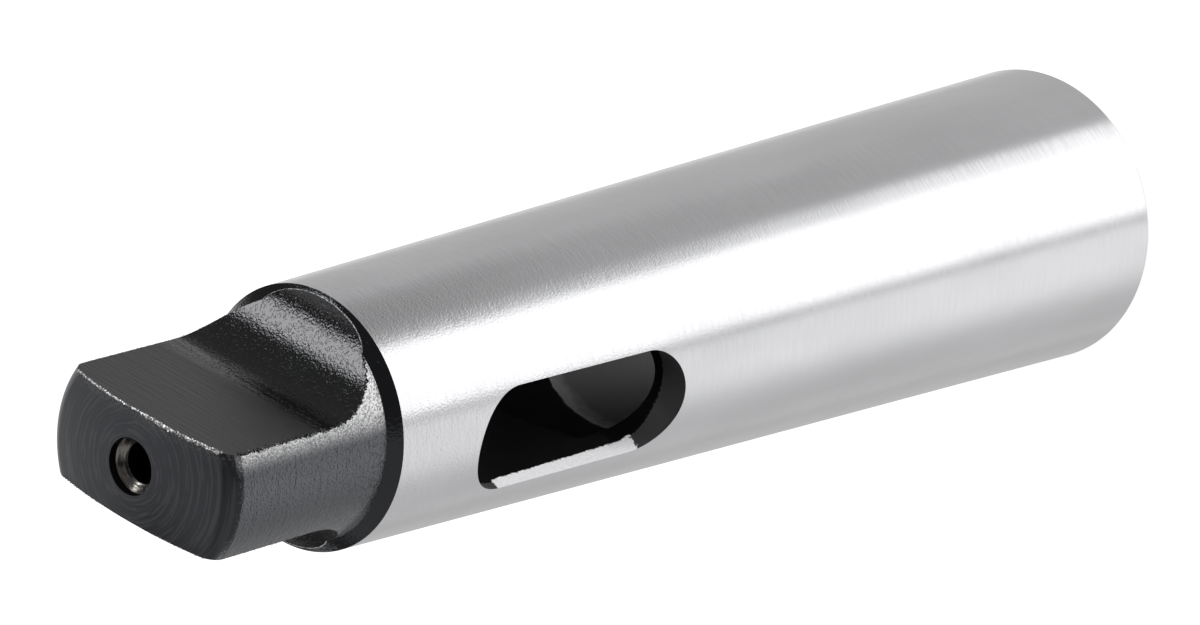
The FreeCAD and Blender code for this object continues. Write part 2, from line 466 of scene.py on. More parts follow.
# %% [markdown]
# ## Cutting and grinding
#
# The last tree works in the order of the shop. It takes each cutter away from
# the blank in turn. Then it lays the ground finish on every face that the
# grinding wheel touches: those whose distance from the axis is the taper's own
# radius at their height, to within a small allowance.

# %% The cutting tree
CUTS = ["Socket", "Drift slot", "Tang flats", "Centre hole"]
GRIND_ALLOWANCE = 0.02
GRIND_STOP = 0.05         # how far below the shoulder the wheel stops
GRIND_SIZES = {"Gauge radius": GAUGE_RADIUS * MM, "Gauge height": GAUGE_HEIGHT * MM,
               "Taper": TAPER, "Allowance": GRIND_ALLOWANCE * MM,
               "Ground to": (SHOULDER_HEIGHT - GRIND_STOP) * MM}

cutting, recipe, given = new_tree("cut_and_grind", {
    **{cut: "Object" for cut in CUTS}, **{size: "Float" for size in GRIND_SIZES},
    "Finish": "Material"})
steel = given["Geometry"]
for cut in CUTS:
    cutter = recipe.add("GeometryNodeObjectInfo", {"Object": given[cut]}).outputs["Geometry"]
    steel = recipe.add("GeometryNodeMeshBoolean", {"Mesh 1": steel, "Mesh 2": cutter},
                       operation="DIFFERENCE", solver="EXACT").outputs["Mesh"]
steel = recipe.add("GeometryNodeMergeByDistance",
                   {"Geometry": steel, "Distance": MERGE}).outputs[0]
place = recipe.add("GeometryNodeInputPosition").outputs[0]
height = recipe.add("ShaderNodeSeparateXYZ", {"Vector": place}).outputs["Z"]
radius = recipe.length(recipe.vector("MULTIPLY", place, (1, 1, 0)))
above_gauge = recipe.calc("SUBTRACT", height, given["Gauge height"])
thinner = recipe.calc("DIVIDE", above_gauge, recipe.times(given["Taper"], 2))
true_radius = recipe.calc("SUBTRACT", given["Gauge radius"], thinner)
off_taper = recipe.calc("ABSOLUTE", recipe.calc("SUBTRACT", radius, true_radius))
touched = recipe.calc("LESS_THAN", off_taper, given["Allowance"])
low_enough = recipe.calc("LESS_THAN", height, given["Ground to"])
finish_tree(recipe, steel, given["Finish"], recipe.times(touched, low_enough))

# %% [markdown]
# ## Running a tree
#
# A tree works as a modifier on a plain start object. Its inputs are set by each
# socket's identifier, before Blender looks at the object for the first time.
# The result is then copied into a plain mesh. A tree can leave behind material
# slots that hold nothing, and those are taken out.


# %% Modifiers and plain meshes
def add_object(name, mesh):
    """A new object in the scene, at the origin."""
    thing = bpy.data.objects.new(name, mesh)
    bpy.context.scene.collection.objects.link(thing)
    return thing


def run_tree(thing, tree, inputs):
    """Puts a tree on an object and sets the tree's named inputs."""
    modifier = thing.modifiers.new(tree.name, "NODES")
    modifier.node_group = tree
    for item in tree.interface.items_tree:
        if item.in_out == "INPUT" and item.name in inputs:
            modifier[item.identifier] = inputs[item.name]


def plain_mesh(thing):
    """What an object's tree makes of it, as a mesh with no empty material slots."""
    settled = thing.evaluated_get(bpy.context.evaluated_depsgraph_get())
    mesh = bpy.data.meshes.new_from_object(settled)
    kept = [i for i, material in enumerate(mesh.materials) if material]
    finishes = [mesh.materials[i] for i in kept]
    indices = [kept.index(face.material_index) for face in mesh.polygons]
    mesh.materials.clear()
    for finish in finishes:
        mesh.materials.append(finish)
    mesh.polygons.foreach_set("material_index", indices)
    print("the mesh made from", thing.name, "has", len(mesh.polygons), "faces")
    return mesh


# %% [markdown]
# ## Turning and milling
#
# A turned body starts as a mere chain of edges along its outline, and a milled
# cutter as one flat face for each outline. The trees do the rest. The number of
# facets round the sleeve is high enough for its outline to look round.


# %% The two machines
FACETS_ROUND = 256


def outline_points(outline, closed):
    """The outline's points on the XZ plane, in metres."""
    points = [point for side in outline for point in side.points()]
    if not closed:
        points.append(outline[-1].end)
    return [(x * MM, 0, z * MM) for x, z in points]


def turn(name, outline, finish):
    """A body turned from an outline that starts and ends on the axis."""
    points = outline_points(outline, closed=False)
    mesh = bpy.data.meshes.new(name)
    mesh.from_pydata(points, [(i, i + 1) for i in range(len(points) - 1)], [])
    thing = add_object(name, mesh)
    run_tree(thing, lathe, {"Facets round": FACETS_ROUND, "Finish": finish})
    return thing


def mill_through(name, outlines, finish):
    """A cutter with the same outlines from one side of the sleeve to the other."""
    points, faces = [], []
    for outline in outlines:
        corners = outline_points(outline, closed=True)
        faces.append(list(range(len(points), len(points) + len(corners))))
        points += corners
    mesh = bpy.data.meshes.new(name)
    mesh.from_pydata(points, [], faces)
    thing = add_object(name, mesh)
    run_tree(thing, mill, {"Reach": (cone_radius(0) + 2 * CLEAR) * MM, "Finish": finish})
    return thing


print("a facet is", round(2 * math.pi * cone_radius(0) / FACETS_ROUND, 2), "mm wide at most")

# %% [markdown]
# ## Six finishes to cut with
#
# Every body is cut with a finish on it, so the materials have to be there
# first. They are empty here. Each gets its recipe of nodes further down, when
# there is a sleeve to look at.


# %% One material for each finish
def new_finish(name):
    """An empty node material."""
    material = bpy.data.materials.new(name)
    material.use_nodes = True
    material.node_tree.nodes.clear()
    return material


def empty_finishes():
    """The names of the materials that have no nodes yet."""
    return [material.name for material in bpy.data.materials if not material.node_tree.nodes]


ground_steel = new_finish("ground_steel")
black_turned = new_finish("blackened_turned_steel")
black_milled = new_finish("blackened_milled_steel")
black_slot = new_finish("blackened_slot_wall")
black_bore = new_finish("blackened_bore")
black_centre = new_finish("blackened_centre_hole")
print("finishes that wait for a recipe:", empty_finishes())

# %% [markdown]
# ## Making the sleeve
#
# The blank and the four cutters each carry the finish that they leave on the
# steel. A boolean keeps the finish of the body that a face came from, so the
# socket's wall comes out with the bore's finish and the flats with the mill's.

# %% Turn, mill and cut
blank = turn("blank", blank_outline, black_turned)
cutters = {
    "Socket": turn("socket_cutter", socket_outline, black_bore),
    "Drift slot": mill_through("slot_cutter", [slot_outline], black_slot),
    "Tang flats": mill_through("flat_cutter", [flat_outline, other_flat_outline], black_milled),
    "Centre hole": turn("centre_cutter", centre_outline, black_centre),
}
run_tree(blank, cutting, {**cutters, **GRIND_SIZES, "Finish": ground_steel})
sleeve = add_object("sleeve", plain_mesh(blank))
for helper in [blank, *cutters.values()]:
    bpy.data.objects.remove(helper)
print("the sleeve has the finishes", [material.name for material in sleeve.data.materials])

# %% [markdown]
# ## True shading
#
# Blender shades a smooth mesh by averaging the faces round each point. Beside a
# cut the average leans, and a polished surface shows that as a smear. So every
# face is matched with the side of the outline that it came from, and each of
# its corners is told the exact direction in which that cone, plane, cylinder or
# crown faces there. Edges between two surfaces stay sharp by themselves.

# %% Which way an outline's surface faces
TURNED = [(blank_outline, 1), (socket_outline, -1), (centre_outline, -1)]
MILLED = [(slot_outline, -1), (flat_outline, -1), (other_flat_outline, -1)]


def on_outline(points, is_turned):
    """Points in millimetres as (across, up) on the outlines' plane."""
    across = np.hypot(points[:, 0], points[:, 1]) if is_turned else points[:, 0]
    return np.column_stack([across, points[:, 2]])


def facing_in_space(side, sign, is_turned, points, round_from):
    """Which way a side's surface faces at some points, in the sleeve's frame."""
    across, up = (sign * side.facing(on_outline(points, is_turned))).T
    if not is_turned:
        return np.column_stack([across, 0 * up, up])
    away = round_from[:, :2] / np.linalg.norm(round_from[:, :2], axis=1, keepdims=True)
    return np.column_stack([away * across[:, None], up])


print("outlines that face the steel:", len(TURNED), "turned and", len(MILLED), "milled")

# %% [markdown]
# A face belongs to the nearest side among those that face its own way. On the
# axis a corner has no way out of its own, and there it takes that of its face.

# %% Give each face its surface's own facing
FACES_ALIKE = 0.9         # how well two directions agree, where 1 is the same
ON_AXIS = 1e-3


def read(collection, name, width):
    """One property of many mesh elements as rows of numbers."""
    values = np.empty(len(collection) * width)
    collection.foreach_get(name, values)
    return values.reshape(-1, width)


def shade_truly(mesh):
    """Sets the facing of every face's corners from the outlines."""
    centres = read(mesh.polygons, "center", 3) / MM
    normals = read(mesh.polygons, "normal", 3)
    at_corner = read(mesh.loops, "vertex_index", 1).astype(int)[:, 0]
    corners = read(mesh.vertices, "co", 3)[at_corner] / MM
    owner = np.repeat(np.arange(len(centres)), read(mesh.polygons, "loop_total", 1).astype(int)[:, 0])
    nearest = np.full(len(centres), np.inf)
    facings = np.zeros_like(corners)
    for outlines, is_turned in ((TURNED, True), (MILLED, False)):
        at = on_outline(centres, is_turned)
        for outline, sign in outlines:
            for side in outline:
                facing = facing_in_space(side, sign, is_turned, centres, centres)
                agrees = (facing * normals).sum(axis=1) > FACES_ALIKE
                distance = np.where(agrees, side.distance(at), np.inf)
                closer = distance < nearest
                nearest[closer] = distance[closer]
                mine = closer[owner]
                on_axis = np.hypot(corners[mine, 0], corners[mine, 1]) < ON_AXIS
                round_from = np.where(on_axis[:, None], centres[owner[mine]], corners[mine])
                facings[mine] = facing_in_space(side, sign, is_turned, corners[mine], round_from)
    mesh.shade_smooth()
    mesh.normals_split_custom_set(facings)
    return nearest.max()


stray = shade_truly(sleeve.data)
print("every face lies within", round(stray, 4), "mm of its outline")

# %% [markdown]
# ## The edge of a flat
#
# Where a cutter leaves the steel it throws up a burr: a ragged line of tiny
# shards along the edge. The edge of a flat is found by climbing the sleeve. At
# each height the cutter's outline gives how far out the edge is, and the
# blank's outline gives how far from the axis, so the rest is a right triangle.

# %% The edge of a flat
RISE = [(r, z) for side in blank_outline for r, z in [*side.points(), side.end] if z >= SHOULDER_HEIGHT]
HALVINGS = 40


def blank_radius(height):
    """The blank's radius at a height above the ground taper."""
    return float(np.interp(height, [z for r, z in RISE], [r for r, z in RISE]))


def cutter_edge(height):
    """How far out the flat's or the scoop's surface is at a height."""
    below = max(run_out - height, 0.0)
    return scoop_across - math.sqrt(SCOOP_RADIUS ** 2 - below ** 2)


def crossing(low, high):
    """The height between two others where the edge meets the middle of the flat."""
    rising = blank_radius(low) < cutter_edge(low)
    for _ in range(HALVINGS):
        middle = (low + high) / 2
        if (blank_radius(middle) < cutter_edge(middle)) == rising:
            low = middle
        else:
            high = middle
    return (low + high) / 2


lip_low = crossing(scoop_floor, shoulder_top)
face_top = crossing(corner_up, LENGTH)
print("the flat's edge runs from", round(lip_low, 2), "to", round(face_top, 2), "mm up")

# %% [markdown]
# One half of the edge becomes a line of points. It turns to run across the
# sleeve at the lip and on the end face, and there it hardly climbs, so the
# heights crowd together towards that end. Its points are held a little below the
# end of the sleeve, so that no shard stands past it.

# %% The line that a burr follows
EDGE_STEPS = 80
SUNK = 0.40               # how far a burr's line stays below the end of the sleeve


def burr_line(low, high, flat, side, widest):
    """Half of the edge of the flat at +X or -X, between two heights, as a line of points."""
    share = np.sin(np.linspace(0, math.pi / 2, EDGE_STEPS))
    heights = low + (high - low) * share if high == face_top else high - (high - low) * share
    line = []
    for height in heights:
        across = cutter_edge(height)
        away = math.sqrt(max(blank_radius(height) ** 2 - across ** 2, 0.0))
        if away <= widest:
            line.append((flat * across, side * away, min(height, LENGTH - SUNK)))
    return line


print("the lip is", round(2 * abs(burr_line(lip_low, shoulder_top, 1, 1, math.inf)[0][1]), 1),
      "mm wide at the top of the shoulder")

# %% [markdown]
# ## Burrs
#
# The burr's tree spreads shards along any line of edges that it is given. Each
# is a five-sided spike, sharp or blunt as its tip says. It is shifted a little
# at random, leans and spins at random, and is stretched by a random amount each
# way. The seed is fixed, so that every run of the script makes the same burr.

# %% The burr's tree
BURR_SIZES = ["Spacing", "Smallest", "Largest", "Jitter", "Tip", "Lean"]
burr, recipe, given = new_tree("burr", {**{size: "Float" for size in BURR_SIZES},
                                        "Seed": "Int", "Finish": "Material"})


def random_vector(low, high, seed_step):
    """A random vector for each point, between two numbers on each axis."""
    node = recipe.add("FunctionNodeRandomValue", data_type="FLOAT_VECTOR")
    sockets = {name: next(i for i in node.inputs if i.name == name and i.type == kind)
               for name, kind in (("Min", "VECTOR"), ("Max", "VECTOR"), ("Seed", "INT"))}
    for name, value in (("Min", low), ("Max", high)):
        combined = recipe.add("ShaderNodeCombineXYZ", {axis: value for axis in "XYZ"})
        recipe.tree.links.new(combined.outputs[0], sockets[name])
    recipe.tree.links.new(recipe.plus(given["Seed"], seed_step), sockets["Seed"])
    return next(o for o in node.outputs if o.type == "VECTOR")


curve = recipe.add("GeometryNodeMeshToCurve", {"Mesh": given["Geometry"]}).outputs[0]
spread = recipe.add("GeometryNodeResampleCurve", {"Curve": curve, "Length": given["Spacing"]},
                    mode="LENGTH").outputs[0]
jitter = random_vector(recipe.times(given["Jitter"], -1), given["Jitter"], 0)
scattered = recipe.add("GeometryNodeSetPosition", {"Geometry": spread, "Offset": jitter}).outputs[0]
spike = recipe.add("GeometryNodeMeshCone", {
    "Vertices": 5, "Radius Top": given["Tip"], "Radius Bottom": 0.5, "Depth": 1.0}).outputs["Mesh"]
lean = random_vector(recipe.times(given["Lean"], -1), given["Lean"], 1)
spin = random_vector(0.0, 2 * math.pi, 3)
tilted = recipe.add("ShaderNodeSeparateXYZ", {"Vector": lean}).outputs
spun_round = recipe.add("ShaderNodeSeparateXYZ", {"Vector": spin}).outputs["Z"]
turn_by = recipe.add("ShaderNodeCombineXYZ", {"X": tilted["X"], "Y": tilted["Y"], "Z": spun_round})
stretch = random_vector(given["Smallest"], given["Largest"], 2)
shards = recipe.add("GeometryNodeInstanceOnPoints", {
    "Points": scattered, "Instance": spike, "Rotation": turn_by.outputs[0],
    "Scale": stretch}).outputs[0]
finish_tree(recipe, shards, given["Finish"])

# %% [markdown]
# Three kinds of burr run round each flat. The end face's edge has a bright one,
# where bare steel shows. The edges beside the round of the tang have short
# black teeth. The scoop's lip in the shoulder has a fine bright line. The burr
# is boldest at the flat at +X, on the side of negative y.

# %% Lay the burrs
bare_edge = new_finish("bare_burr")
black_edge = new_finish("blackened_burr")
FACE_FROM = corner_up + 0.4
FACE_WIDEST = 9.7         # how far from the middle the bright burr on the end face goes
SIDE_TO = corner_up + 0.6
FACE_EDGE = {"heights": (FACE_FROM, face_top), "widest": FACE_WIDEST, "finish": bare_edge}
SIDE_EDGE = {"heights": (shoulder_top, SIDE_TO), "widest": math.inf, "finish": black_edge}
LIP_EDGE = {"heights": (lip_low, shoulder_top), "widest": math.inf, "finish": bare_edge}
BURRS = [
    # name, edge, flats and sides, then spacing, smallest, largest, jitter, tip and lean
    ("bold_face_burr", FACE_EDGE, [(1, -1)], (0.05, 0.08, 0.34, 0.08, 0.4, 0.4)),
    ("face_burr", FACE_EDGE, [(1, 1)], (0.06, 0.05, 0.22, 0.06, 0.4, 0.4)),
    ("slight_face_burr", FACE_EDGE, [(-1, 1), (-1, -1)], (0.15, 0.03, 0.12, 0.03, 0.4, 0.3)),
    ("bold_side_burr", SIDE_EDGE, [(1, -1)], (0.15, 0.06, 0.46, 0.05, 0.0, 3.0)),
    ("slight_side_burr", SIDE_EDGE, [(1, 1), (-1, 1), (-1, -1)],
     (0.2, 0.03, 0.12, 0.02, 0.0, 3.0)),
    ("lip_burr", LIP_EDGE, [(1, 1), (1, -1), (-1, 1), (-1, -1)],
     (0.05, 0.05, 0.11, 0.012, 0.45, 0.15)),
]


def lay_burr(name, lines, sizes, seed, finish):
    """A mesh of shards along some lines."""
    points, edges = [], []
    for line in lines:
        first = len(points)
        points += [(x * MM, y * MM, z * MM) for x, y, z in line]
        edges += [(first + i, first + i + 1) for i in range(len(line) - 1)]
    mesh = bpy.data.meshes.new(name)
    mesh.from_pydata(points, edges, [])
    thing = add_object(name, mesh)
    inputs = {size: value if size in ("Tip", "Lean") else value * MM
              for size, value in zip(BURR_SIZES, sizes)}
    run_tree(thing, burr, {**inputs, "Seed": seed, "Finish": finish})
    made = plain_mesh(thing)
    thing.modifiers.clear()
    thing.data = made
    return thing


burrs = []
for seed, (name, edge, places, sizes) in enumerate(BURRS):
    lines = [burr_line(*edge["heights"], flat, side, edge["widest"]) for flat, side in places]
    burrs.append(lay_burr(name, lines, sizes, seed, edge["finish"]))

# %% [markdown]
# ## A shared start for every finish
#
# Each finish needs the same few things: a shader, the place on the sleeve in
# millimetres, how far from the axis it is, and noise. Turned and ground steel
# carries fine lines that run round the axis. Noise makes them when its
# coordinate changes fast along the axis and slowly round it. The way round is
# taken from the direction away from the axis, so that there is no seam.


# %% The start of a finish
class Finish(Recipe):
    """The recipe of one material, with the places that its patterns are drawn on."""

    def __init__(self, material, **constants):
        super().__init__(material.node_tree)
        self.shader = self.add("ShaderNodeBsdfPrincipled",
                               {name.replace("_", " "): value for name, value in constants.items()})
        self.add("ShaderNodeOutputMaterial", {"Surface": self.shader.outputs[0]})
        metres = self.add("ShaderNodeTexCoord").outputs["Object"]
        self.place = self.scaled(metres, 1 / MM)
        parts = self.add("ShaderNodeSeparateXYZ", {"Vector": self.place})
        self.x, self.y, self.z = parts.outputs
        outward = self.stretched(1, 1, 0)
        self.radius = self.length(outward)
        self.outward = self.add("ShaderNodeVectorMath", {0: outward},
                                operation="NORMALIZE").outputs[0]

    def scaled(self, vector, factor):
        return self.add("ShaderNodeVectorMath", {0: vector, "Scale": factor},
                        operation="SCALE").outputs[0]

    def stretched(self, x, y, z):
        """The place with each of its parts at a scale of its own."""
        return self.vector("MULTIPLY", self.place, (x, y, z))

    def noise(self, vector, scale=1.0, detail=1.0, roughness=0.5):
        """Noise from 0 to 1 on a coordinate."""
        return self.add("ShaderNodeTexNoise", {"Vector": vector, "Scale": scale, "Detail": detail,
                                               "Roughness": roughness}).outputs["Fac"]

    def round_lines(self, position, per_mm, waviness=1.5):
        """A coordinate for lines round the axis, spaced along one measure of the place."""
        way_round = self.scaled(self.outward, waviness)
        along = self.add("ShaderNodeCombineXYZ", {"Z": self.times(position, per_mm)})
        return self.vector("ADD", way_round, along.outputs[0])

    def mix(self, share, first, second):
        """A colour between two others."""
        node = self.add("ShaderNodeMix", data_type="RGBA")
        for name, kind, value in (("Factor", "VALUE", share), ("A", "RGBA", first), ("B", "RGBA", second)):
            socket = next(i for i in node.inputs if i.name == name and i.type == kind)
            if isinstance(value, bpy.types.NodeSocket):
                self.tree.links.new(value, socket)
            else:
                socket.default_value = value
        return next(o for o in node.outputs if o.type == "RGBA")

    def bump(self, height, strength=1.0, distance=MM):
        """A surface normal raised by a height, in millimetres unless a distance is given."""
        sockets = {"Height": height, "Strength": strength, "Distance": distance}
        return self.add("ShaderNodeBump", sockets).outputs[0]

    def set(self, **values):
        """Wires or sets the shader's own sockets."""
        for name, value in values.items():
            socket = self.shader.inputs[name.replace("_", " ")]
            if isinstance(value, bpy.types.NodeSocket):
                self.tree.links.new(value, socket)
            else:
                socket.default_value = value


def grey(value, blue=0.0):
    """A colour close to grey, with a little more blue."""
    return (value, value, value * (1 + blue), 1)


print("finishes that wait for a recipe:", len(empty_finishes()))

# %% [markdown]
# ## Ground steel
#
# The taper is ground to size, so it is bright, and it reflects the lights as
# long bands along the sleeve. The wheel leaves very fine lines round it, and
# small ripples that fray the bands' edges. Near the shoulder both are coarser.

# %% The ground finish
LINES_PER_MM = 3.0
LINES_WAVINESS = 4.0
LINES_COARSEN = (20, 115)          # between these two heights
LINE_HEIGHTS = (0.003, 0.004)
GRAIN_PER_MM = 4.2
GRAIN_COARSENS = (40, 115)
GRAIN_HEIGHTS = (0.003, 0.013)
CLOUDS_PER_MM = (0.16, 0.16, 0.05)
GROUND_ROUGHNESS = (0.15, 0.21)
MOST_OF_NOISE = (0.3, 0.7)         # where most of the values of a noise lie

finish = Finish(ground_steel, Metallic=1.0)
lines = finish.noise(finish.round_lines(finish.z, LINES_PER_MM, LINES_WAVINESS), detail=2.0)
grain = finish.noise(finish.place, GRAIN_PER_MM)
clouds = finish.noise(finish.stretched(*CLOUDS_PER_MM), detail=2.0)
grain_height = finish.step(finish.z, *GRAIN_COARSENS, *GRAIN_HEIGHTS)
lines_height = finish.step(finish.z, *LINES_COARSEN, *LINE_HEIGHTS)
texture = finish.plus(finish.times(grain, grain_height), finish.times(lines, lines_height))
finish.set(Base_Color=finish.mix(clouds, grey(0.58, 0.02), grey(0.71, 0.02)),
           Roughness=finish.step(lines, *MOST_OF_NOISE, *GROUND_ROUGHNESS),
           Normal=finish.bump(texture))
print("the ground finish has", len(ground_steel.node_tree.nodes), "nodes")

# %% [markdown]
# ## Blackened steel
#
# Everything else is black: an oxide layer, thin enough to show how the steel
# under it was cut. It is a dark glossy skin. Its fine peel, like that of an
# orange, frays the edges of what it reflects, and small pits dot it.

# %% The black skin
BLACK = grey(0.003, 0.06)
BLACK_IOR = 1.9
BLUE_TINT = (0.88, 0.905, 1.0, 1)
FAINT_TINT = (0.96, 0.96, 1.0, 1)
PEEL_PER_MM = 4.0
PEEL_HEIGHT = 0.034
PITS_PER_MM = 3.0
PIT_DEPTH = -0.016
PIT_EDGE = (0.56, 0.62)            # the noise values over which a pit sinks in
NO_PITS = 0.0


def black_skin(finish, peel_height, pit_depth):
    """The height of the peel and of the pits, in millimetres."""
    peel = finish.noise(finish.place, PEEL_PER_MM)
    pits = finish.noise(finish.place, PITS_PER_MM)
    return finish.plus(finish.times(peel, peel_height),
                       finish.step(pits, *PIT_EDGE, 0.0, pit_depth))


print("the peel is", PEEL_HEIGHT, "mm high and a pit", -PIT_DEPTH, "mm deep")

# %% [markdown]
# The turned black is tinted blue. The end face is duller than the round of the
# tang and shows the rings that the lathe left. Of the turned steel only the
# round of the tang has pits.

# %% The blackened, turned finish
END_FACE = (LENGTH - 3.0, LENGTH - 1.6)
SIDE_FOOT = (shoulder_top - 0.02, shoulder_top + 0.02)
SIDE_TOP = (LENGTH - 2.0, LENGTH - 2.4)
END_PEEL_HEIGHT = 0.008
RINGS_PER_MM = 3.6
TURNING_PER_MM = 2.5
TURNING_WAVINESS = 2.5
RING_HEIGHT = 0.022
TURNED_ROUGHNESS = (0.10, 0.30)    # of the side and of the end face

finish = Finish(black_turned, IOR=BLACK_IOR, Specular_Tint=BLUE_TINT)
end_face = finish.step(finish.z, *END_FACE)
on_side = finish.times(finish.step(finish.z, *SIDE_FOOT), finish.step(finish.z, *SIDE_TOP))
rings = finish.noise(finish.round_lines(finish.radius, RINGS_PER_MM))
turning = finish.noise(finish.round_lines(finish.z, TURNING_PER_MM, TURNING_WAVINESS))
skin = black_skin(finish, finish.blend(end_face, PEEL_HEIGHT, END_PEEL_HEIGHT),
                  finish.times(on_side, PIT_DEPTH))
texture = finish.plus(skin, finish.times(finish.plus(rings, turning), RING_HEIGHT))
finish.set(Roughness=finish.blend(end_face, *TURNED_ROUGHNESS), Normal=finish.bump(texture))
print("the turned finish has", len(black_turned.node_tree.nodes), "nodes before its wear")

# %% [markdown]
# The black is worn through in specks. On the round of the tang the bare specks
# gather towards the flat at +X, partly wear and partly a painted reflection of the
# key light that runs along that edge. On the end face the wear lies beside the
# edge of that flat and, faintly, on the highest of the rings.

# %% Wear and painted reflection on the turned steel
SPECKS_PER_MM = 4.5
SIDE_WEAR_AND_REFLECTION = [((3.3, 5.1), 0.60), ((5.3, 6.5), 0.10)]   # between which x, and how much
SIDE_SPECKS = (0.36, 0.52, 0.62, 1.18)
FACE_WEAR = (4.0, FLAT)
FACE_SPECKS = (0.45, 0.60)
FACE_WEAR_SHARE = 0.14
WORN_RINGS = (0.54, 0.60, 0.0, 0.06)
WORN_AND_REFLECTING_STEEL = grey(0.65)

specks = finish.noise(finish.place, SPECKS_PER_MM)
# partly painted reflection: on the round of the tang bare steel gathers where the key light's reflection
# runs by the flat at +X
side_wear_and_reflection = finish.plus(*[finish.step(finish.x, *reach, 0.0, share) for reach, share in SIDE_WEAR_AND_REFLECTION])
side_wear_and_reflection = finish.times(side_wear_and_reflection, finish.step(specks, *SIDE_SPECKS), on_side)
face_wear = finish.times(finish.step(finish.x, *FACE_WEAR), finish.step(specks, *FACE_SPECKS),
                         FACE_WEAR_SHARE)
face_wear = finish.plus(face_wear, finish.step(rings, *WORN_RINGS))
wear_and_painted_reflection = finish.plus(side_wear_and_reflection, finish.times(face_wear, end_face))
finish.set(Metallic=wear_and_painted_reflection, Base_Color=finish.mix(wear_and_painted_reflection, BLACK, WORN_AND_REFLECTING_STEEL))
print("the turned finish has", len(black_turned.node_tree.nodes), "nodes")

# %% [markdown]
# The mill leaves straight marks across the flats. They are dull, and in the
# scoops, where the cutter stopped, the steel is glossy again and has pits.
# Where a flat runs out into its scoop the marks widen into streaks.

# %% The blackened, milled finish
FLAT_STARTS = (run_out - 0.5, run_out + 3.0)
STREAKS_START = (run_out - 2.0, run_out)
STREAKS_STOP = (run_out + 5.0, run_out)
MARKS_PER_MM = (3.2, 0.22, 3.2)
STREAKS_PER_MM = (1.3, 0.12, 1.3)
FLAT_PEEL_HEIGHT = 0.012
MARK_HEIGHTS = (0.003, 0.034)      # in the scoop and on the flat
STREAK_HEIGHT = 0.06
MILLED_ROUGHNESS = (0.09, 0.38)

finish = Finish(black_milled, Base_Color=BLACK, IOR=BLACK_IOR, Specular_Tint=FAINT_TINT)
on_flat = finish.step(finish.z, *FLAT_STARTS)
near_scoop = finish.times(finish.step(finish.z, *STREAKS_START), finish.step(finish.z, *STREAKS_STOP))
marks = finish.noise(finish.stretched(*MARKS_PER_MM), detail=3.0)
streaks = finish.noise(finish.stretched(*STREAKS_PER_MM))
texture = finish.plus(
    black_skin(finish, finish.blend(on_flat, PEEL_HEIGHT, FLAT_PEEL_HEIGHT),
               finish.blend(on_flat, PIT_DEPTH, NO_PITS)),
    finish.times(marks, finish.blend(on_flat, *MARK_HEIGHTS)),
    finish.times(streaks, near_scoop, STREAK_HEIGHT))
finish.set(Roughness=finish.blend(on_flat, *MILLED_ROUGHNESS), Normal=finish.bump(texture))
print("the milled finish has", len(black_milled.node_tree.nodes), "nodes")

# %% [markdown]
# ## The insides
#
# The socket's taper is bare steel. Its colour is painted paler towards its inner
# end, a painted pool of light. The relief bore above it stays black and dull.

# %% The bore
DULL_IOR = 1.3
PATCHES_PER_MM = 0.6
TAPER_ENDS = (taper_end + 0.1, taper_end - 0.1)
PAINTED_LIGHT_RISES = (taper_end - 2.0, taper_end + 1.0)
PAINTED_LIGHT_STRAYS = 3.0


def partly_bare(finish, share, steel, bare_roughness, black_roughness):
    """Bare steel where the share is 1, and black where it is 0."""
    finish.set(Metallic=share, Base_Color=finish.mix(share, BLACK, steel),
               Roughness=finish.blend(share, black_roughness, bare_roughness))


finish = Finish(black_bore, IOR=DULL_IOR)
patches = finish.noise(finish.place, PATCHES_PER_MM, detail=4.0)
bare = finish.step(finish.plus(finish.z, patches), *TAPER_ENDS)
# painted light: the taper's steel colour grows paler towards its inner end
near_end = finish.step(finish.plus(finish.z, finish.times(patches, PAINTED_LIGHT_STRAYS)), *PAINTED_LIGHT_RISES)
partly_bare(finish, bare, finish.mix(near_end, grey(0.42), grey(0.95)),
            bare_roughness=0.4, black_roughness=0.5)
print("the bore's finish has", len(black_bore.node_tree.nodes), "nodes")

# %% [markdown]
# Bare steel shows on the drift slot's walls towards its mouths, down to a rough
# line, and further in the walls stay black: that black inner band is painted
# shade, where the bore's shade and dark reflection fall. The straight sides get a
# paler, scratched steel, partly a painted highlight where they catch the light,
# and the bare steel goes a little deeper on them. The round ends get a darker
# steel, which is painted shade. The highlit strip ends in slanting, frayed lines,
# and its surface leans outwards, as where a file has broken the edge.

# %% The slot
RAGGED_PER_MM = 3.5
SLANT = -0.43                      # how far the bright part's ends shift, for each mm out
SLANT_FROM = 13.0
FRAY = 1.6
BRIGHT_FROM = (slot_low - 1.5, slot_low - 1.3)
BRIGHT_TO = (slot_high + 0.65, slot_high + 0.45)
DEEPER_WHEN_BRIGHT = 0.35
# painted shade: within this distance from the middle the walls stay black, where the bore's shade falls
BARE_BEYOND_PAINTED_SHADE = (11.6, 11.64)        # how far out from the middle the bare steel starts
SCRATCHES = (0.35, 0.65)
# painted shade: the round ends get a darker steel than the straight sides
SHADED_END_STEEL = grey(0.34, 0.04)
LEAN_OUT = -1.2

finish = Finish(black_slot, IOR=DULL_IOR)
ragged = finish.noise(finish.place, RAGGED_PER_MM, detail=5.0, roughness=0.7)
out = finish.calc("ABSOLUTE", finish.y)
slanted = finish.plus(finish.z, finish.times(finish.calc("SUBTRACT", out, SLANT_FROM), SLANT))
frayed = finish.plus(slanted, finish.times(finish.calc("SUBTRACT", ragged, 0.5), FRAY))
highlit_strip = finish.times(finish.step(frayed, *BRIGHT_FROM), finish.step(frayed, *BRIGHT_TO))
depth = finish.plus(out, finish.plus(ragged, finish.times(highlit_strip, DEEPER_WHEN_BRIGHT)))
bare = finish.step(depth, *BARE_BEYOND_PAINTED_SHADE)
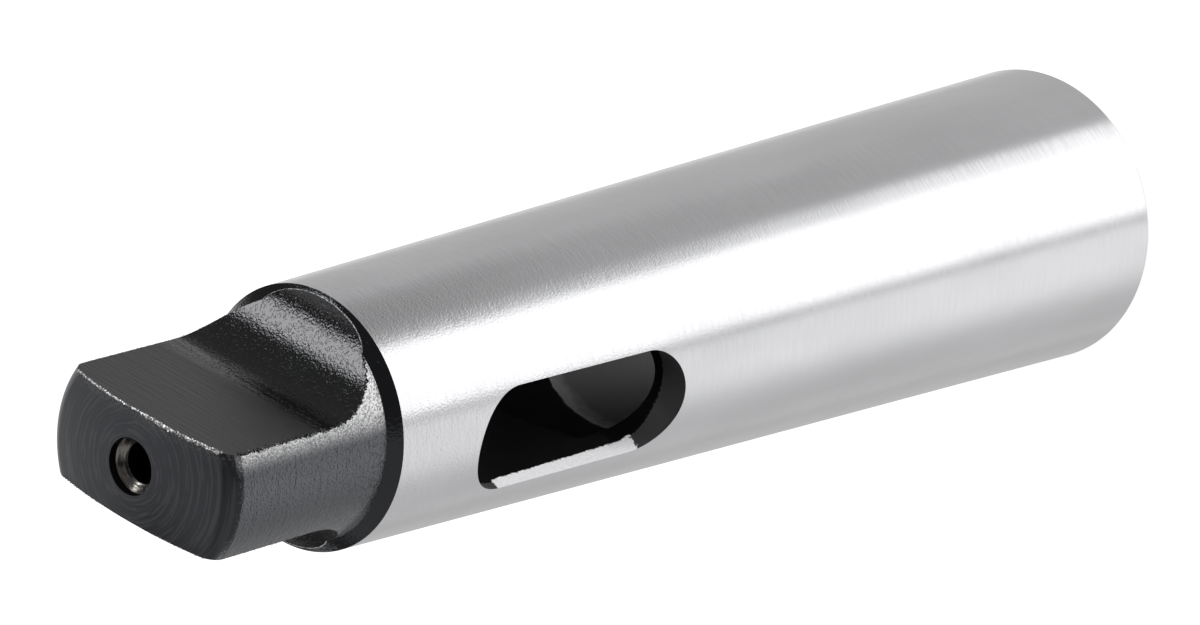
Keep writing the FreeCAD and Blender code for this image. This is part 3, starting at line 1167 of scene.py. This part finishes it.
# the straight sides' paler steel is partly scratches and partly a painted highlight where they catch the
# light
scratched_and_highlit_steel = finish.mix(finish.step(ragged, *SCRATCHES), grey(0.60, 0.02), grey(0.69, 0.02))
partly_bare(finish, bare, finish.mix(highlit_strip, SHADED_END_STEEL, scratched_and_highlit_steel),
            bare_roughness=0.5, black_roughness=0.5)
finish.set(Normal=finish.bump(finish.times(out, LEAN_OUT), finish.times(bare, highlit_strip)))
print("the slot's finish has", len(black_slot.node_tree.nodes), "nodes")

# %% [markdown]
# The cone of the centre hole is bare, scored round by the centre drill. Its
# mouth and its pilot are black.

# %% The centre hole
EDGE = 0.02                        # how soft the bare cone's ends are
PILOT_ENDS = (CENTRE_PILOT_RADIUS + 0.02, CENTRE_PILOT_RADIUS + 0.06)
RIPPLES_PER_MM = 3.5
SCORES = (0.35, 0.6)
DARK_SCORE, PALE_SCORE = (0.08, 0.075, 0.07, 1), (0.42, 0.40, 0.37, 1)
SCORE_HEIGHT = 0.05

finish = Finish(black_centre, IOR=BLACK_IOR)
ripples = finish.noise(finish.round_lines(finish.z, RIPPLES_PER_MM), detail=3.0)
scored = finish.mix(finish.step(ripples, *SCORES), DARK_SCORE, PALE_SCORE)
bare = finish.times(finish.step(finish.z, cone_start + EDGE, cone_start - EDGE),
                    finish.step(finish.radius, *PILOT_ENDS))
partly_bare(finish, bare, scored, bare_roughness=0.2, black_roughness=0.3)
finish.set(Normal=finish.bump(ripples, distance=SCORE_HEIGHT * MM))
print("the centre hole's finish has", len(black_centre.node_tree.nodes), "nodes")

# %% [markdown]
# The burrs are bare or black like the steel that they came from. Tarnish makes
# some shards darker or duller than others.

# %% The burrs' finishes
TARNISH_PER_MM = 2.0
TARNISHED = (0.3, 0.65)
BLACK_BURR_ROUGHNESS = (0.2, 0.4)

finish = Finish(bare_edge, Metallic=1.0)
tarnish = finish.noise(finish.place, TARNISH_PER_MM, detail=2.0)
finish.set(Base_Color=finish.mix(finish.step(tarnish, *TARNISHED), grey(0.40), grey(1.0)),
           Roughness=0.25)

finish = Finish(black_edge, Base_Color=BLACK, IOR=BLACK_IOR, Specular_Tint=FAINT_TINT)
tarnish = finish.noise(finish.place, TARNISH_PER_MM, detail=2.0)
finish.set(Roughness=finish.step(tarnish, *MOST_OF_NOISE, *BLACK_BURR_ROUGHNESS))
print("finishes that still wait for a recipe:", len(empty_finishes()))

# %% [markdown]
# ## The camera
#
# The sleeve stands upright here, and in the photograph it lies with its tang
# towards the lower left. So the camera looks down at it from the side and is
# rolled round its own line of sight. It has a long lens, because the sleeve's
# sides hardly run together.

# %% Aim the camera
AIM = Vector((1.77, 1.23, 72.04)) * MM
CAMERA_AZIMUTH = math.radians(-55.118)
CAMERA_ELEVATION = math.radians(47.422)
CAMERA_ROLL = math.radians(-105.467)
CAMERA_DISTANCE = 592.52 * MM
LENS = 174.82
SENSOR = 36.0
NEAREST, FARTHEST = 0.05, 20

back = Vector((math.cos(CAMERA_AZIMUTH) * math.cos(CAMERA_ELEVATION),
               math.sin(CAMERA_AZIMUTH) * math.cos(CAMERA_ELEVATION),
               math.sin(CAMERA_ELEVATION)))
camera = add_object("camera", bpy.data.cameras.new("camera"))
camera.data.lens, camera.data.sensor_width = LENS, SENSOR
camera.data.sensor_fit = "HORIZONTAL"
camera.data.clip_start, camera.data.clip_end = NEAREST, FARTHEST
camera.location = AIM + back * CAMERA_DISTANCE
camera.rotation_mode = "QUATERNION"
camera.rotation_quaternion = ((-back).to_track_quat("-Z", "Y")
                              @ Quaternion((0, 0, 1), CAMERA_ROLL))
bpy.context.scene.camera = camera
print("the camera stands at", [round(c / MM, 1) for c in camera.location], "mm")

# %% [markdown]
# ## The studio
#
# Bright steel shows what is round it, so the light is drawn as a room: a pale
# table below, wide soft boxes beside the camera, a narrow strip above, and dark
# between. A dark card is a box of negative light, as a photographer holds one
# up. Each box is a patch of the sky, given in degrees by the azimuths and the
# elevations that it fills, and by how softly each edge fades.

# %% Boxes of light
STUDIO = [
    # name, azimuths and their softness, elevations and their softness, strength
    ("table", (-400, 400), (1, 1), (-90, -37), (1, 6), 0.50),
    ("key box", (-77, -30), (5.5, 10), (-62, -31), (4, 3), 1.10),
    ("key box's wing, low", (-34, -2), (8, 5), (-90, -47.3), (1, 1.2), 1.08),
    ("key box's wing, high", (-34, -16.3), (8, 2.2), (-47.3, -35), (1.2, 3), 0.98),
    ("second box", (-132, -83.5), (22, 4.5), (-90, -37), (1, 6), 0.54),
    ("third box, west", (-400, -142), (1, 8), (-90, -37), (1, 6), 0.08),
    ("third box, east", (100, 136), (8, 6), (-90, -37), (1, 6), 0.22),
    ("dark card", (-10, 34), (6, 12), (-44.5, -30), (4, 4), -0.20),
    ("far corner", (20, 66), (8, 8), (-36, 20), (6, 6), 0.06),
    ("strip", (38, 74), (4, 4), (26, 54), (4, 4), 3.5),
    ("back wall, low", (97, 128), (6, 6), (-37, 12), (6, 6), 0.80),
    ("back wall, high", (95, 137), (6, 4), (12, 74), (6, 6), 0.39),
    ("back wall, top", (141, 170), (4, 8), (47, 74), (5, 6), 0.47),
    ("far side", (-400, -88), (1, 4), (-37, 70), (6, 8), 0.20),
    ("side window", (-58, -8), (4, 6), (-33, 28), (3, 5), 1.40),
    ("back window", (156, 400), (4, 1), (-31, -5), (3, 4), 0.80),
    ("west window", (-400, -153), (1, 5), (-31, -5), (3, 4), 0.80),
]
ROOM = 0.08

world = bpy.data.worlds.new("studio")
bpy.context.scene.world = world
world.use_nodes = True
world.node_tree.nodes.clear()
recipe = Recipe(world.node_tree)
direction = recipe.add("ShaderNodeTexCoord").outputs["Generated"]
parts = recipe.add("ShaderNodeSeparateXYZ", {"Vector": direction}).outputs
elevation = recipe.calc("DEGREES", recipe.calc("ARCSINE", parts["Z"]))
azimuth = recipe.calc("DEGREES", recipe.calc("ARCTAN2", parts["Y"], parts["X"]))
light = ROOM
for name, azimuths, azimuth_soft, elevations, elevation_soft, strength in STUDIO:
    for measure, (low, high), (low_soft, high_soft) in (
            (azimuth, azimuths, azimuth_soft), (elevation, elevations, elevation_soft)):
        rise = recipe.step(measure, low - low_soft, low + low_soft)
        fall = recipe.step(measure, high - high_soft, high + high_soft, 1.0, 0.0)
        strength = recipe.times(rise, fall, strength)
    light = recipe.plus(strength, light)
light = recipe.calc("MAXIMUM", light, 0.0)
background = recipe.add("ShaderNodeBackground", {"Strength": light, "Color": (1, 1, 1, 1)})
recipe.add("ShaderNodeOutputWorld", {"Surface": background.outputs[0]})
print("the studio has", len(STUDIO), "boxes of light")

# %% [markdown]
# ## The floor
#
# A plain pale floor. It glows a little, so that it comes out as the even white
# of a light table, and only a faint shadow shows where the sleeve stands. The
# reflections in the steel come from the studio's own table, so the floor is
# shown to the camera alone.

# %% Lay the floor
HALF_FLOOR = 3.0
PAPER = {"Base Color": (0.8, 0.8, 0.8, 1), "Roughness": 1.0, "Specular IOR Level": 0.0,
         "Emission Color": (1, 1, 1, 1), "Emission Strength": 0.88}

corners = [(-1, -1), (1, -1), (1, 1), (-1, 1)]
floor_mesh = bpy.data.meshes.new("floor")
floor_mesh.from_pydata([(x * HALF_FLOOR, y * HALF_FLOOR, 0) for x, y in corners],
                       [], [(0, 1, 2, 3)])
floor = add_object("floor", floor_mesh)
for ray in ("diffuse", "glossy", "transmission", "shadow"):
    setattr(floor, f"visible_{ray}", False)
paper = new_finish("pale_floor")
recipe = Recipe(paper.node_tree)
shader = recipe.add("ShaderNodeBsdfPrincipled", PAPER)
recipe.add("ShaderNodeOutputMaterial", {"Surface": shader.outputs[0]})
floor_mesh.materials.append(paper)

bpy.context.scene.view_settings.view_transform = "Standard"
print("the floor is", 2 * HALF_FLOOR, "m wide")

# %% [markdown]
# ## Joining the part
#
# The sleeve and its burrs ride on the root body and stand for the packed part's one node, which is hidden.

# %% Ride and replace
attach(sleeve, "root")
for piece in burrs:
    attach(piece, "root")
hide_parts("taper_sleeve")
